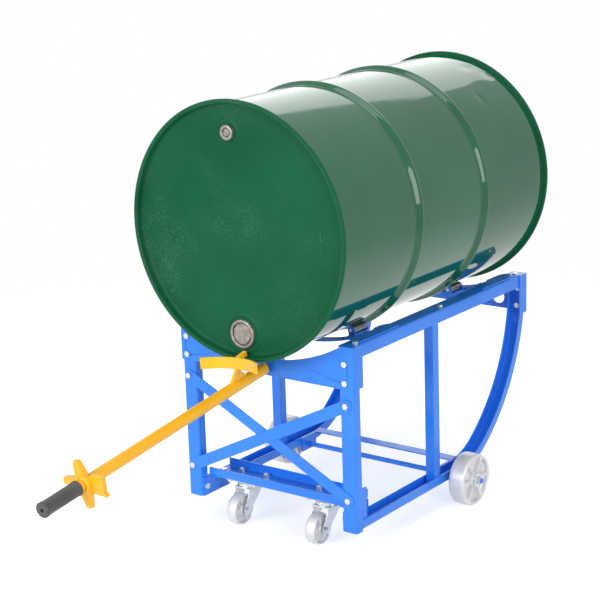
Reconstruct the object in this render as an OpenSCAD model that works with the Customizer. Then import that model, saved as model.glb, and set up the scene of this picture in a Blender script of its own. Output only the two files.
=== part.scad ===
// Rotating drum cart: a steel cradle on casters, wheels and rocker rails,
// with a closed drum lying on four rollers and a hook-on turning lever.
// Millimetres. X points right seen from the lever end, Y points to the rear, Z up from the floor.

/* [Drum] */
// Height of the drum's axis above the floor
drum_axis_h = 750; // [740:1:770]
// Radius of the drum's plain shell
shell_r = 286; // [282:0.5:288]
// Radius over the rolling hoops and the chimes
hoop_r = 295.5; // [294:0.5:298]
// Length of the drum over its chimes
drum_len = 883.5; // [870:0.5:900]
// Thickness of the drum's sheet
drum_sheet = 1.2; // [0.8:0.1:2]
// Depth of each head below its chime
head_recess = 19; // [17:0.5:24]
// Radius of the rolled curl of a chime
curl_r = 5.5; // [4.5:0.25:6]
// Distance from the front chime to the first hoop
hoop_y = 309; // [296:1:325]
// Distance between the two hoops
hoop_gap = 284; // [270:1:296]
// Radius of a hoop's swaged crown
hoop_crown_r = 12; // [10:0.5:16]

/* [Bungs] */
// Radius of the large bung's thread
large_thread_r = 29; // [26:0.5:31]
// Radius of the large bung's rim
large_rim_r = 33.2; // [32:0.1:38]
// Radius of the small bung's thread
small_thread_r = 13; // [11:0.5:14]
// Radius of the small bung's rim
small_rim_r = 17.5; // [16.5:0.5:20]
// Distance of the large bung below the drum's axis
large_bung_drop = 235; // [225:1:240]
// Distance of the small bung above the drum's axis
small_bung_rise = 219; // [210:1:240]
// Sideways place of the large bung
large_bung_x = -1; // [-20:1:20]
// Sideways place of the small bung
small_bung_x = -22; // [-30:1:20]
// Length of a bung's threaded body
bung_len = 14; // [11:0.5:18]
// Depth of the bung rim in front of the head
bung_rim_t = 3.5; // [2.5:0.5:4]

/* [Frame] */
// Width over the legs and rocker rails
frame_w = 491; // [480:1:500]
// Distance between the outer faces of the two saddle plates
base_len = 773.7; // [760:0.1:790]
// Distance from the drum's front chime back to the front saddle plate
saddle_set = 87.8; // [80:0.1:95]
// Drop from the drum's axis to the top of the side rails
rail_drop = 250; // [245:1:254]
// Thickness of the channels and angles
bar_t = 3.2; // [2.5:0.1:4]
// Outer bend radius of the channels
bend_r = 6; // [4.5:0.5:7]
// Width of the legs and rocker rails
channel_w = 38; // [34:1:42]
// Depth of the legs' flanges
leg_depth = 25; // [22:1:28]
// Height of the legs' feet above the floor
leg_clear = 60; // [52:1:66]
// Depth of the top side rails' outer face
rail_face = 30; // [24:1:36]
// Width of the top side rails' flange
rail_w = 38.5; // [34:0.5:40]
// Width of the square mid posts
post_w = 25; // [20:1:30]
// Wall of the mid posts
post_t = 2; // [1.5:0.25:3]
// Distance from the drum's front chime to the mid posts
post_y = 424; // [400:1:440]

/* [Rocker rails] */
// Height of the straight runner above the floor
runner_h = 63; // [60:0.5:70]
// Depth of the rocker rails' flanges
rocker_depth = 24; // [20:1:28]
// Angle of the rocker curve where the short bend meets it, in degrees below level
rocker_turn = 55.4; // [52:0.1:58]
// Drop from the top of the side rails to the rocker curve's centre
rocker_end_drop = 21.3; // [15:0.1:28]
// Radius of the short bend that leads into the rocker curve
lead_r = 200; // [150:1:220]
// Width of the upper cross bar
cross_bar_w = 25; // [20:1:32]
// Thickness of the upper cross bar
cross_bar_t = 3; // [2:0.5:5]
// Place of the upper cross bar on the short bend, in degrees
cross_bar_turn = 6.6; // [6.4:0.1:9]

/* [Saddle plates] */
// Height of a saddle plate
saddle_h = 100; // [96:1:106]
// Thickness of a saddle plate
saddle_t = 3; // [2.5:0.25:4]
// Depth of a saddle plate's side flanges
saddle_flange = 38.2; // [34:0.1:44]
// Radius of the saddle's arched edge
arch_r = 423; // [415:1:440]
// Height of the arch's lowest point above the plate's bottom edge
arch_web = 40; // [34:1:46]
// Radius of the lever storage hole in the rear plate
store_hole_r = 17.5; // [15:0.5:19]
// Sideways place of the lever storage hole
store_hole_x = 165; // [150:1:175]

/* [Fasteners] */
// Diameter of the frame's bolts
bolt_d = 8; // [6:0.5:8]
// Width across the flats of the bolt heads and nuts
bolt_af = 13; // [12:0.5:14]
// Height of a bolt head
head_h = 5.3; // [4:0.1:6]
// Height of a nut
nut_h = 6.5; // [5:0.1:8]
// Radial play of a bolt in its hole
hole_play = 0.3; // [0.2:0.05:0.5]
// Distance of the upper saddle bolts below the drum's axis
upper_bolt_drop = 289.8; // [286:0.1:294]
// Distance between the upper and lower saddle bolts
saddle_bolt_pitch = 44; // [36:1:46]

/* [Brace bars] */
// Width of a brace bar
brace_w = 28; // [22:1:32]
// Thickness of a brace bar
brace_t = 3; // [2:0.5:4]
// Distance of the brace bars' upper bolts below the drum's axis
brace_top_drop = 387.2; // [380:0.1:392]
// Height of the lower brace bolts above the legs' feet
brace_low_rise = 78.3; // [70:0.1:90]
// Length over which the front bar steps out to cross the other
brace_step = 40; // [30:1:60]

/* [Rollers] */
// Radius of a cradle roller
roller_r = 10; // [9:0.25:12]
// Length of a cradle roller
roller_len = 48; // [40:1:52]
// Angle of the rollers from straight below the drum's axis
roller_angle = 28; // [26:0.1:32]
// Distance from the drum's front chime to the front rollers' middle
roller_y = 265; // [258:0.5:266]
// Running gap between a roller and the drum's shell
roller_gap = 0.3; // [0.2:0.05:0.4]
// Radius of a roller's pin
pin_r = 4; // [3.5:0.25:5]
// Radial play of a moving piece on its pin
running_play = 0.05; // [0.03:0.01:0.08]
// Thickness of a roller bracket
bracket_t = 2.5; // [2:0.25:3]
// Side play between a roller and its bracket
roller_side = 1; // [0.5:0.25:2]
// Width of a roller bracket along its strap
bracket_w = 18; // [14:1:19]
// Gap between a roller and the floor of its bracket
bracket_play = 0.5; // [0.4:0.1:1]
// Width of a roller strap
strap_w = 28; // [24:1:34]
// Thickness of a roller strap
strap_t = 4; // [3:0.5:5]
// Gap between a strap and the drum's shell
strap_gap = 6; // [5:0.25:8]
// Distance of a strap's middle in front of its rollers' middle
strap_lead = 40.5; // [36:0.5:44]
// Length of a roller mount plate
mount_len = 159; // [140:1:165]
// Thickness of a roller mount plate
mount_t = 3; // [2.5:0.25:4]
// Overhang of a mount plate past its rail's inner edge
mount_over = 5; // [3:0.5:7]

/* [Rear wheels] */
// Radius of a rear wheel
wheel_r = 63.5; // [61:0.25:65]
// Width of a rear wheel
wheel_w = 43; // [36:1:46]
// Width over the outer faces of the rear wheels
wheel_track = 600; // [592:1:610]
// Distance from the drum's front chime to the rear axle
axle_y = 522; // [500:1:530]
// Diameter of the rear axle
axle_d = 12.7; // [10:0.1:14]
// Width across the flats of the axle nuts
axle_nut_af = 19; // [17:0.5:22]
// Thickness of an axle lug
lug_t = 5; // [3:0.5:6]
// Length of an axle lug
lug_len = 60; // [50:1:62]

/* [Casters] */
// Overall height of a swivel caster
caster_h = 105; // [103:0.5:112]
// Radius of a caster wheel
caster_wheel_r = 38; // [36:0.5:39]
// Width of a caster wheel
caster_wheel_w = 28; // [24:1:30]
// Sideways distance of each swivel axis from the middle
swivel_x = 115; // [105:1:120]
// Distance from the drum's front chime to the swivel axes
swivel_y = 157; // [152:1:160]
// Trail of a caster
trail = 37; // [32:1:38]
// Thickness of a fork's legs
fork_t = 3; // [2.5:0.25:4]
// Spacing of the caster plate's bolts across the cart
plate_bolt_x = 74; // [66:1:76]
// Spacing of the caster plate's bolts along the cart
plate_bolt_y = 45; // [42:1:46]
// Diameter of the caster axle bolts
caster_axle_d = 8; // [6:0.5:10]
// Length of the caster channel
platform_len = 407; // [400:1:408]
// Width of the caster channel
platform_w = 80; // [76:1:84]
// Height of the caster channel's flanges
platform_flange = 22.5; // [18:0.5:30]
// Thickness of the caster channel
platform_t = 3; // [2.5:0.25:4]

/* [Lever] */
// Length of the lever from grip end to tip
lever_len = 733.5; // [680:0.5:760]
// Angle at which the lever hangs below level, in degrees
lever_angle = 7.8; // [6:0.1:9]
// Sideways place of the lever
lever_x = 10; // [0:1:14]
// Distance of the lever's tip behind the drum's front chime
tip_y = 76; // [65:0.5:80]
// Distance of the lever's tip below the drum's axis
tip_drop = 330; // [328:0.5:336]
// Diameter of the lever's tube
tube_d = 27; // [24:0.5:30]
// Wall of the lever's tube
tube_t = 2.5; // [2:0.25:3.5]
// Diameter of the grip
grip_d = 34; // [31:0.5:38]
// Length of the grip
grip_len = 104.4; // [95:0.1:120]
// Distance of the bung wrench's middle from the grip's end
star_set = 127; // [122:0.5:150]
// Length of the bung wrench along the tube
star_len = 26; // [20:0.5:30]
// Reach of the bung wrench's lugs from the tube's middle
star_reach = 53; // [48:1:58]
// Front radius of the curved saddle strip
strip_r = 138; // [130:1:150]
// Width across the ends of the saddle strip
strip_w = 157.5; // [140:0.5:180]
// Sideways distance of the strip's middle from the lever
strip_shift = 5; // [0:0.5:10]
// Roll of the strip about the lever, in degrees
strip_roll = 4.6; // [0:0.1:6]
// Height of the saddle strip
strip_h = 26.5; // [22:0.5:30]
// Thickness of the saddle strip
strip_t = 5; // [4:0.5:6]
// Distance of the strip's middle in front of the chime
strip_set = 20; // [16:0.5:24]
// Distance of the strip's top below the drum's axis
strip_drop = 278.5; // [276:0.5:281]
// Width of the hook's finger
finger_w = 10; // [9:0.5:16]
// Height of the hook's finger
finger_h = 11; // [9:0.5:14]
// Reach of the finger behind the chime's middle
finger_reach = 7; // [5:0.5:8]
// Rise of the finger towards the drum, in degrees
finger_rise = 13; // [8:1:15]
// Gap between the finger and the chime
hook_gap = 0.3; // [0.2:0.1:0.5]

/* [Hidden] */
$fn = 64;

blue = [0.12, 0.36, 0.85];
green = [0.06, 0.33, 0.22];
yellow = [1, 0.76, 0.12];
zinc = [0.78, 0.79, 0.8];
dark_zinc = [0.62, 0.63, 0.64];
grip_black = [0.16, 0.16, 0.16];
bronze = [0.7, 0.5, 0.25];

// Shared small sizes
touch = 0.1;
gap = 0.3;
bolt_r = bolt_d / 2;
hole_r = bolt_r + hole_play;

// The part's origin lies on the floor below the middle of its whole length
grip_end_y = tip_y - lever_len * cos(lever_angle) - grip_d / 2 * sin(lever_angle);
drum_y = -(grip_end_y + drum_len) / 2;
side_x = frame_w / 2;

// Heights and places along the cart, with Y counted from the drum's front chime
rail_top = drum_axis_h - rail_drop;
rail_under = rail_top - bar_t;
front_inner_y = saddle_set + saddle_t;
back_y = saddle_set + base_len;
rear_inner_y = back_y - saddle_t;
mid_y = saddle_set + base_len / 2;
saddle_bottom = rail_top - saddle_h;
leg_x = side_x - channel_w / 2;
channel_inner_x = side_x - channel_w;
rail_inner_x = side_x - rail_w;
bolt_x = leg_x;
upper_bolt_h = drum_axis_h - upper_bolt_drop;
lower_bolt_h = upper_bolt_h - saddle_bolt_pitch;
post_inner_x = side_x - bar_t - post_w;
runner_floor = runner_h + bar_t;

// Rocker curve: the long arc ends upright at the rear plate, the short bend joins it to the runner
rocker_centre_h = rail_top - rocker_end_drop;
lead_h = runner_h + lead_r;
rocker_r = lead_r + (rocker_centre_h - lead_h) / sin(rocker_turn);
rocker_y = rear_inner_y - rocker_r;
lead_y = rocker_y + (rocker_r - lead_r) * cos(rocker_turn);

// Rollers lie on the shell, and each strap's curve passes just below its brackets
roller_reach = shell_r + roller_gap + roller_r;
roller_x = roller_reach * sin(roller_angle);
roller_h = drum_axis_h - roller_reach * cos(roller_angle);
strap_low = drum_axis_h - shell_r - strap_gap;
roller_stand = roller_r + bracket_play + bracket_t;
roller_rise = roller_h - strap_low;
strap_r = (pow(roller_x, 2) + pow(roller_rise, 2) - pow(roller_stand, 2))
  / (2 * (roller_rise - roller_stand));
strap_centre_h = strap_low + strap_r;
bracket_tilt = atan2(roller_x, strap_centre_h - roller_h);
strap_y = roller_y - strap_lead;
bracket_len = roller_len + 2 * roller_side + 2 * bracket_t;

// Rear axle
wheel_inner_x = wheel_track / 2 - wheel_w;
axle_r = axle_d / 2;
bush_r = axle_r + 3;
washer_r = 16.5;
washer_t = 2.5;
axle_nut_h = 11;
axle_end_x = wheel_track / 2 + gap + washer_t + axle_nut_h + 2;

// Casters, from the channel's floor down
plate_t = 3;
race_r = 24;
ball_r = 2.5;
race_h = 5.4;
race_under = caster_h - plate_t - race_h;
cup_r = race_r + 3;
cup_wall = 2;
cup_under = race_under - 6;
ball_h = race_under - gap - ball_r;
crown_top = ball_h - ball_r - gap;
crown_t = 6;
crown_under = crown_top - crown_t;
king_pin_r = 6;
fork_inner = caster_wheel_w / 2 + 6;
fork_half = fork_inner + fork_t;
caster_axle_r = caster_axle_d / 2;
wheel_y = swivel_y - trail;
platform_y = swivel_y + 1;

// Lever
strip_centre_y = -strip_set - strip_t - strip_r;
chime_bar_r = hoop_r - curl_r;
strip_bottom = drum_axis_h - strip_drop - strip_h;
// Stand of the finger's lower face off the curl's middle, clear of the curl and the recess wall
wall_stand = (chime_bar_r - shell_r + 2 * drum_sheet) * cos(finger_rise);
finger_stand = max(curl_r, wall_stand) + hook_gap;
// How far the curved chime rises over the finger's outer edge
chime_rise = chime_bar_r - curl_r - sqrt(pow(chime_bar_r - curl_r, 2) - pow(lever_x + finger_w / 2, 2));

// Places everything from the drum's front chime into the part's frame
module placed() translate([0, drum_y, 0]) children();
module left() mirror([1, 0, 0]) children();
module rear() translate([0, 2 * mid_y, 0]) mirror([0, 1, 0]) children();
module both_sides() {
  children();
  left() children();
}
module both_ends() {
  children();
  rear() children();
}

// A cylinder that runs along Y or X from its start point
module along_y(p, r, l) translate(p) rotate([-90, 0, 0]) cylinder(r = r, h = l);
module along_x(p, r, l) translate(p) rotate([0, 90, 0]) cylinder(r = r, h = l);
module block(x0, x1, y0, y1, z0, z1) translate([x0, y0, z0]) cube([x1 - x0, y1 - y0, z1 - z0]);
// Draws a (Y, Z) outline and gives it a thickness along X from x0
module side_slab(x0, t) translate([x0, 0, 0]) rotate([90, 0, 90]) linear_extrude(t) children();
// Draws an (X, Z) outline and gives it a thickness along Y from y0
module front_slab(y0, t) translate([0, y0 + t, 0]) rotate([90, 0, 0]) linear_extrude(t) children();

// Channel section: web on the X axis, flanges towards +Y, outer corners rounded
module channel_section(w, depth, t, r) {
  difference() {
    union() {
      translate([-w / 2 + r, 0]) square([w - 2 * r, depth]);
      translate([-w / 2, r]) square([w, depth - r]);
      translate([-w / 2 + r, r]) circle(r);
      translate([w / 2 - r, r]) circle(r);
    }
    translate([-w / 2 + r, t]) square([w - 2 * r, depth]);
    translate([-w / 2 + t, r]) square([w - 2 * t, depth]);
    translate([-w / 2 + r, r]) circle(r - t);
    translate([w / 2 - r, r]) circle(r - t);
  }
}

// Angle section: corner at the origin, one leg along -X, the other along -Y
module angle_section(w, h, t, r) {
  difference() {
    union() {
      translate([-w, -h]) square([w - r, h]);
      translate([-r, -h]) square([r, h - r]);
      translate([-r, -r]) circle(r);
    }
    translate([-w - 1, -h - 1]) square([w + 1 - r, h + 1 - t]);
    translate([-r - 1, -h - 1]) square([r + 1 - t, h + 1 - r]);
    translate([-r, -r]) circle(r - t);
  }
}

// A six-sided head or nut, flat on the XY plane
module hex(af, h) cylinder(d = af / cos(30), h = h, $fn = 6);
// Bolt along +Y: its head in front of y = 0, its nut behind the grip length
module bolt_y(p, grip) {
  translate(p) rotate([-90, 0, 0]) bolt(grip);
}
module bolt(grip) {
  translate([0, 0, -head_h]) hex(bolt_af, head_h);
  cylinder(r = bolt_r, h = grip + nut_h + 2);
  difference() {
    translate([0, 0, grip]) hex(bolt_af, nut_h);
    translate([0, 0, grip - 1]) cylinder(r = bolt_r, h = nut_h + 2);
  }
}

// Frame
module saddle_plate() {
  translate([0, saddle_set, saddle_bottom]) linear_extrude(saddle_h)
    channel_section(frame_w + 2 * saddle_t, saddle_flange, saddle_t, 2 * saddle_t);
}
module saddle_cuts() {
  along_y([0, saddle_set - 1, saddle_bottom + arch_web + arch_r], arch_r, saddle_flange + 2);
  both_sides() for (h = [upper_bolt_h, lower_bolt_h])
    along_y([bolt_x, saddle_set - 1, h], hole_r, saddle_t + 2);
}
module front_saddle_plate() {
  color(blue) placed() difference() {
    saddle_plate();
    saddle_cuts();
  }
}
module rear_saddle_plate() {
  color(blue) placed() rear() difference() {
    saddle_plate();
    saddle_cuts();
    along_y([store_hole_x, saddle_set - 1, lower_bolt_h + 12], store_hole_r, saddle_t + 2);
  }
}

module top_rail() {
  y0 = front_inner_y + leg_depth;
  y1 = rear_inner_y - leg_depth;
  difference() {
    union() {
      translate([side_x, y1, rail_top]) rotate([90, 0, 0]) linear_extrude(y1 - y0)
        angle_section(rail_w, rail_face, bar_t, bend_r);
      // Flange ends with a corner cut that clears the saddle plates' bends
      for (end = [[front_inner_y, y0, 1], [rear_inner_y, y1, -1]])
        translate([0, 0, rail_under]) linear_extrude(bar_t) polygon([
          [rail_inner_x, end[0]], [side_x - saddle_t, end[0]], [side_x, end[0] + end[2] * saddle_t],
          [side_x, end[1]], [rail_inner_x, end[1]]
        ]);
    }
    for (p = rail_bolt_places)
      translate([p[0], p[1], rail_under - 1]) cylinder(r = hole_r, h = bar_t + 2);
  }
}
// Upright bolts through the top rails: at the leg, behind the mid post, at the rocker rail
end_bolt_x = side_x - bar_t - 10.3;
end_bolt_set = 31.2;
mid_bolt_set = 27;
end_bolt_y = front_inner_y + end_bolt_set;
mid_bolt_y = post_y + post_w + mid_bolt_set;
rail_bolt_places = [
  [end_bolt_x, end_bolt_y],
  [end_bolt_x - 2.5, mid_bolt_y],
  [end_bolt_x, 2 * mid_y - end_bolt_y]
];
tab_t = 3;
module right_top_rail() color(blue) placed() top_rail();
module left_top_rail() color(blue) placed() left() top_rail();

// A welded tab under the rail that takes an upright bolt
module rail_tab(y0, y1, bolt) {
  difference() {
    block(post_inner_x, side_x - bend_r, y0, y1, rail_under - tab_t, rail_under);
    translate([bolt[0], bolt[1], rail_under - tab_t - 1]) cylinder(r = hole_r, h = tab_t + 2);
  }
}

module front_leg() {
  difference() {
    translate([leg_x, front_inner_y, leg_clear]) linear_extrude(rail_under - leg_clear)
      channel_section(channel_w, leg_depth, bar_t, bend_r);
    for (h = [upper_bolt_h, lower_bolt_h, brace_top_h, brace_low_h])
      along_y([bolt_x, front_inner_y - 1, h], hole_r, bar_t + 2);
    along_x([channel_inner_x - 1, foot_bolt_y, foot_bolt_h], hole_r, bar_t + 2);
  }
  rail_tab(front_inner_y + bar_t, end_bolt_y + bolt_af, rail_bolt_places[0]);
}
module right_front_leg() color(blue) placed() front_leg();
module left_front_leg() color(blue) placed() left() front_leg();

// Rocker rail: straight runner, short bend, long arc and an upright top behind the saddle plate.
// The (Y, Z) region on the inner side of the rail's outer line, moved inwards by o
module rocker_inside(o, y0, top) {
  reach = 2 * rocker_r;
  translate([y0, runner_h + o]) square([lead_y - y0, top - runner_h - o]);
  translate([rocker_y, rocker_centre_h]) square([rocker_r - o, top - rocker_centre_h]);
  intersection() {
    translate([lead_y, lead_h]) circle(lead_r - o, $fn = 180);
    translate([lead_y, lead_h]) polygon([
      [0, 0], [0, -reach], [reach * cos(rocker_turn), -reach], reach * [cos(rocker_turn), -sin(rocker_turn)]
    ]);
  }
  intersection() {
    translate([rocker_y, rocker_centre_h]) circle(rocker_r - o, $fn = 240);
    translate([rocker_y, rocker_centre_h]) polygon([
      [0, 0], reach * [cos(rocker_turn), -sin(rocker_turn)], [reach, 0]
    ]);
  }
}
module rocker_rail() {
  y0 = front_inner_y + leg_depth + touch;
  difference() {
    side_slab(channel_inner_x, channel_w) difference() {
      rocker_inside(0, y0, rail_under);
      rocker_inside(rocker_depth, y0 - 1, rail_under + 1);
    }
    side_slab(channel_inner_x + bar_t, channel_w - 2 * bar_t)
      rocker_inside(bar_t, y0 - 1, rail_under + 1);
    for (h = [upper_bolt_h, lower_bolt_h])
      along_y([bolt_x, web_inner_y(h) - 4, h], hole_r, bar_t + 12);
    along_x([channel_inner_x - 1, axle_y, wheel_r], axle_r + touch, channel_w + 2);
    // Corner cut that clears the saddle plate's bend
    translate([side_x, rear_inner_y, saddle_bottom]) linear_extrude(saddle_h)
      polygon([[1, 1], [-saddle_t - 1, 1], [1, -saddle_t - 1]]);
  }
  rear() rail_tab(front_inner_y + bar_t, end_bolt_y + bolt_af, rail_bolt_places[0]);
}
// Inner face of a rocker rail's web at height h
function web_inner_y(h) = rocker_y + sqrt(pow(rocker_r - bar_t, 2) - pow(max(rocker_centre_h - h, 0), 2));
module right_rocker_rail() color(blue) placed() rocker_rail();
module left_rocker_rail() color(blue) placed() left() rocker_rail();

module mid_post() {
  outer = post_inner_x + post_w;
  // Cut along the top outer edge that clears the rail's inner bend
  cut = bend_r - bar_t;
  difference() {
    block(post_inner_x, outer, post_y, post_y + post_w, runner_floor, rail_under);
    translate([outer, post_y - 1, rail_under]) rotate([-90, 0, 0]) linear_extrude(post_w + 2)
      polygon([[1, -1], [-cut - 1, -1], [1, cut + 1]]);
    block(post_inner_x + post_t, post_inner_x + post_w - post_t,
      post_y + post_t, post_y + post_w - post_t, runner_floor - 1, rail_under + 1);
  }
  rail_tab(post_y + post_w, mid_bolt_y + bolt_af, rail_bolt_places[1]);
}
module right_mid_post() color(blue) placed() mid_post();
module left_mid_post() color(blue) placed() left() mid_post();

// Brace bars: both are bolted to the legs' faces, and the rising one steps out over the other
brace_top_h = drum_axis_h - brace_top_drop;
brace_low_h = leg_clear + brace_low_rise;
brace_rise = brace_top_h - brace_low_h;
brace_len = sqrt(pow(2 * bolt_x, 2) + pow(brace_rise, 2));
brace_angle = atan2(brace_rise, 2 * bolt_x);
module brace_shape(step) {
  half = brace_len / 2;
  end_r = brace_w / 2;
  flat = half - brace_w;
  difference() {
    intersection() {
      // Bar seen from above: length along X, thickness along Y
      translate([0, 0, -end_r]) linear_extrude(brace_w) polygon([
        [-half - end_r, -brace_t], [-flat, -brace_t], [-flat + brace_step, -brace_t - step],
        [flat - brace_step, -brace_t - step], [flat, -brace_t], [half + end_r, -brace_t],
        [half + end_r, 0], [flat, 0], [flat - brace_step, -step],
        [-flat + brace_step, -step], [-flat, 0], [-half - end_r, 0]
      ]);
      union() {
        block(-half, half, -brace_t - step - 1, 1, -end_r, end_r);
        along_y([-half, -brace_t - step - 1, 0], end_r, brace_t + step + 2);
        along_y([half, -brace_t - step - 1, 0], end_r, brace_t + step + 2);
      }
    }
    along_y([-half, -brace_t - 1, 0], hole_r, brace_t + 2);
    along_y([half, -brace_t - 1, 0], hole_r, brace_t + 2);
  }
}
module brace_at(angle, step) {
  translate([0, front_inner_y, (brace_top_h + brace_low_h) / 2]) rotate([0, angle, 0])
    brace_shape(step);
}
module rising_brace_bar() color(blue) placed() brace_at(-brace_angle, brace_t);
module falling_brace_bar() color(blue) placed() brace_at(brace_angle, 0);

// Casters' channel, its angle brackets on the legs' inner faces and the gussets behind the legs
foot_bolt_set = 15;
foot_bolt_rise = 23;
foot_plate_h = 91;
foot_bolt_y = front_inner_y + foot_bolt_set;
foot_bolt_h = leg_clear + foot_bolt_rise;
foot_t = bar_t;
foot_reach = 32;
module caster_channel() {
  color(blue) placed() difference() {
    translate([-platform_len / 2, platform_y, caster_h]) rotate([90, 0, 90])
      linear_extrude(platform_len) channel_section(platform_w, platform_flange, platform_t, bend_r);
    for (p = plate_bolt_places)
      translate([p[0], p[1], caster_h - 1]) cylinder(r = hole_r, h = platform_t + 2);
    both_sides() translate([foot_seat_x, platform_y, caster_h - 1])
      cylinder(r = hole_r, h = platform_t + 2);
  }
}
foot_seat_x = channel_inner_x - foot_t - 14;
module leg_foot_brackets() {
  y0 = front_inner_y + 4;
  y1 = platform_y + platform_w / 2 - 4;
  color(blue) placed() both_sides() {
    difference() {
      union() {
        block(channel_inner_x - foot_t, channel_inner_x, y0, y1, leg_clear - 1, caster_h);
        block(channel_inner_x - foot_reach, channel_inner_x - foot_t, platform_y - platform_w / 2 + 6,
          y1, caster_h - foot_t, caster_h);
      }
      along_x([channel_inner_x - foot_t - 1, foot_bolt_y, foot_bolt_h], hole_r, foot_t + 2);
      translate([foot_seat_x, platform_y, caster_h - foot_t - 1])
        cylinder(r = hole_r, h = foot_t + 2);
    }
    block(side_x - bar_t - foot_t, side_x - bar_t, front_inner_y + bend_r, front_inner_y + leg_depth + 22,
      runner_h + bend_r, runner_h + bend_r + foot_plate_h);
  }
}

// Flat bar welded between the inner flanges, level with their edges where the rails begin to bend
module upper_cross_bar() {
  top = sqrt(pow(lead_r - rocker_depth, 2) - pow(cross_bar_w / 2, 2));
  color(blue) placed() translate([0, lead_y, lead_h]) rotate([cross_bar_turn, 0, 0])
    block(-channel_inner_x, channel_inner_x, -cross_bar_w / 2, cross_bar_w / 2,
      -top - cross_bar_t, -top);
}

// Rear axle, its lugs on both faces of each runner, spacers, washers and nuts
module rear_axle() color(blue) placed() along_x([-axle_end_x, axle_y, wheel_r], axle_r, 2 * axle_end_x);
module axle_lugs() {
  color(blue) placed() both_sides() for (x = [channel_inner_x - lug_t, side_x]) difference() {
    block(x, x + lug_t, axle_y - lug_len / 2, axle_y + lug_len / 2,
      runner_h - 13, runner_h + rocker_depth);
    along_x([x - 1, axle_y, wheel_r], axle_r + touch, lug_t + 2);
  }
}
module axle_fasteners() {
  color(zinc) placed() both_sides() {
    // Spacer between lug and wheel
    difference() {
      along_x([side_x + lug_t, axle_y, wheel_r], axle_r + 4, wheel_inner_x - gap - side_x - lug_t);
      along_x([side_x + lug_t - 1, axle_y, wheel_r], axle_r + touch, wheel_w);
    }
    // Washer
    difference() {
      along_x([wheel_track / 2 + gap, axle_y, wheel_r], washer_r, washer_t);
      along_x([wheel_track / 2 - 1, axle_y, wheel_r], axle_r + touch, washer_t + 3);
    }
    // Nut
    difference() {
      translate([wheel_track / 2 + gap + washer_t, axle_y, wheel_r]) rotate([0, 90, 0])
        hex(axle_nut_af, axle_nut_h);
      along_x([wheel_track / 2, axle_y, wheel_r], axle_r + touch, washer_t + axle_nut_h + 3);
    }
  }
}

// Roller straps: flat bars bent to one curve, with their ends on the rails' inner edges
module roller_strap() {
  translate([0, strap_y - strap_w / 2, strap_centre_h]) rotate([-90, 0, 0]) intersection() {
    difference() {
      cylinder(r = strap_r + strap_t, h = strap_w, $fn = 180);
      translate([0, 0, -1]) cylinder(r = strap_r, h = strap_w + 2, $fn = 180);
    }
    translate([-rail_inner_x, 0, -1])
      cube([2 * rail_inner_x, strap_r + strap_t + 1, strap_w + 2]);
  }
}
module front_roller_strap() color(blue) placed() roller_strap();
module rear_roller_strap() color(blue) placed() rear() roller_strap();

// Plates on the rails' flanges that the strap ends are welded into
module mount_plate() {
  y0 = strap_y - 0.6 * mount_len;
  y1 = y0 + mount_len;
  inner = rail_inner_x - mount_over;
  outer = side_x - bend_r - 1;
  slot = strap_w / 2 + touch;
  // Corner cut at each end of the plate's inner edge
  cut = mount_over + 5;
  translate([0, 0, rail_top]) difference() {
    linear_extrude(mount_t) polygon([
      [outer, y0], [outer, y1], [inner + cut, y1], [inner, y1 - 2 * cut],
      [inner, strap_y + slot], [rail_inner_x, strap_y + slot],
      [rail_inner_x, strap_y - slot], [inner, strap_y - slot],
      [inner, y0 + 2 * cut], [inner + cut, y0]
    ]);
    translate([end_bolt_x, end_bolt_y, -1]) cylinder(r = bolt_af / 2 + 2, h = mount_t + 2);
  }
}
module roller_mount_plates() color(blue) placed() both_ends() both_sides() mount_plate();

// Works in a bracket's own frame: origin at the roller's middle, -Z down to the strap
module at_roller() translate([roller_x, roller_y, roller_h]) rotate([0, -bracket_tilt, 0]) children();
module roller_bracket() {
  half = bracket_len / 2;
  // The flat base rests on the curved strap along its two edges
  sag = strap_r - sqrt(pow(strap_r, 2) - pow(bracket_w / 2, 2));
  base = -roller_stand + sag;
  ear_r = pin_r + 5;
  // The base reaches forward over the whole width of the strap
  front = strap_lead + strap_w / 2 - 2;
  at_roller() {
    block(-bracket_w / 2, bracket_w / 2, -front, half, base, -roller_r - bracket_play + sag / 2);
    for (y = [-half, half - bracket_t]) difference() {
      union() {
        block(-ear_r, ear_r, y, y + bracket_t, base, 0);
        along_y([0, y, 0], ear_r, bracket_t);
      }
      along_y([0, y - 1, 0], pin_r + touch, bracket_t + 2);
    }
  }
}
module roller_brackets() color(blue) placed() both_ends() both_sides() roller_bracket();
module roller_pin() {
  over = bracket_len / 2 + 1.5;
  along_y([roller_x, roller_y - over, roller_h], pin_r, 2 * over);
}
module roller_pins() color(zinc) placed() both_ends() both_sides() roller_pin();
module roller() {
  difference() {
    along_y([roller_x, roller_y - roller_len / 2, roller_h], roller_r, roller_len);
    along_y([roller_x, roller_y - roller_len / 2 - 1, roller_h], pin_r + running_play, roller_len + 2);
  }
}
module front_right_roller() color(dark_zinc) placed() roller();
module front_left_roller() color(dark_zinc) placed() left() roller();
module rear_right_roller() color(dark_zinc) placed() rear() roller();
module rear_left_roller() color(dark_zinc) placed() rear() left() roller();

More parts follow.
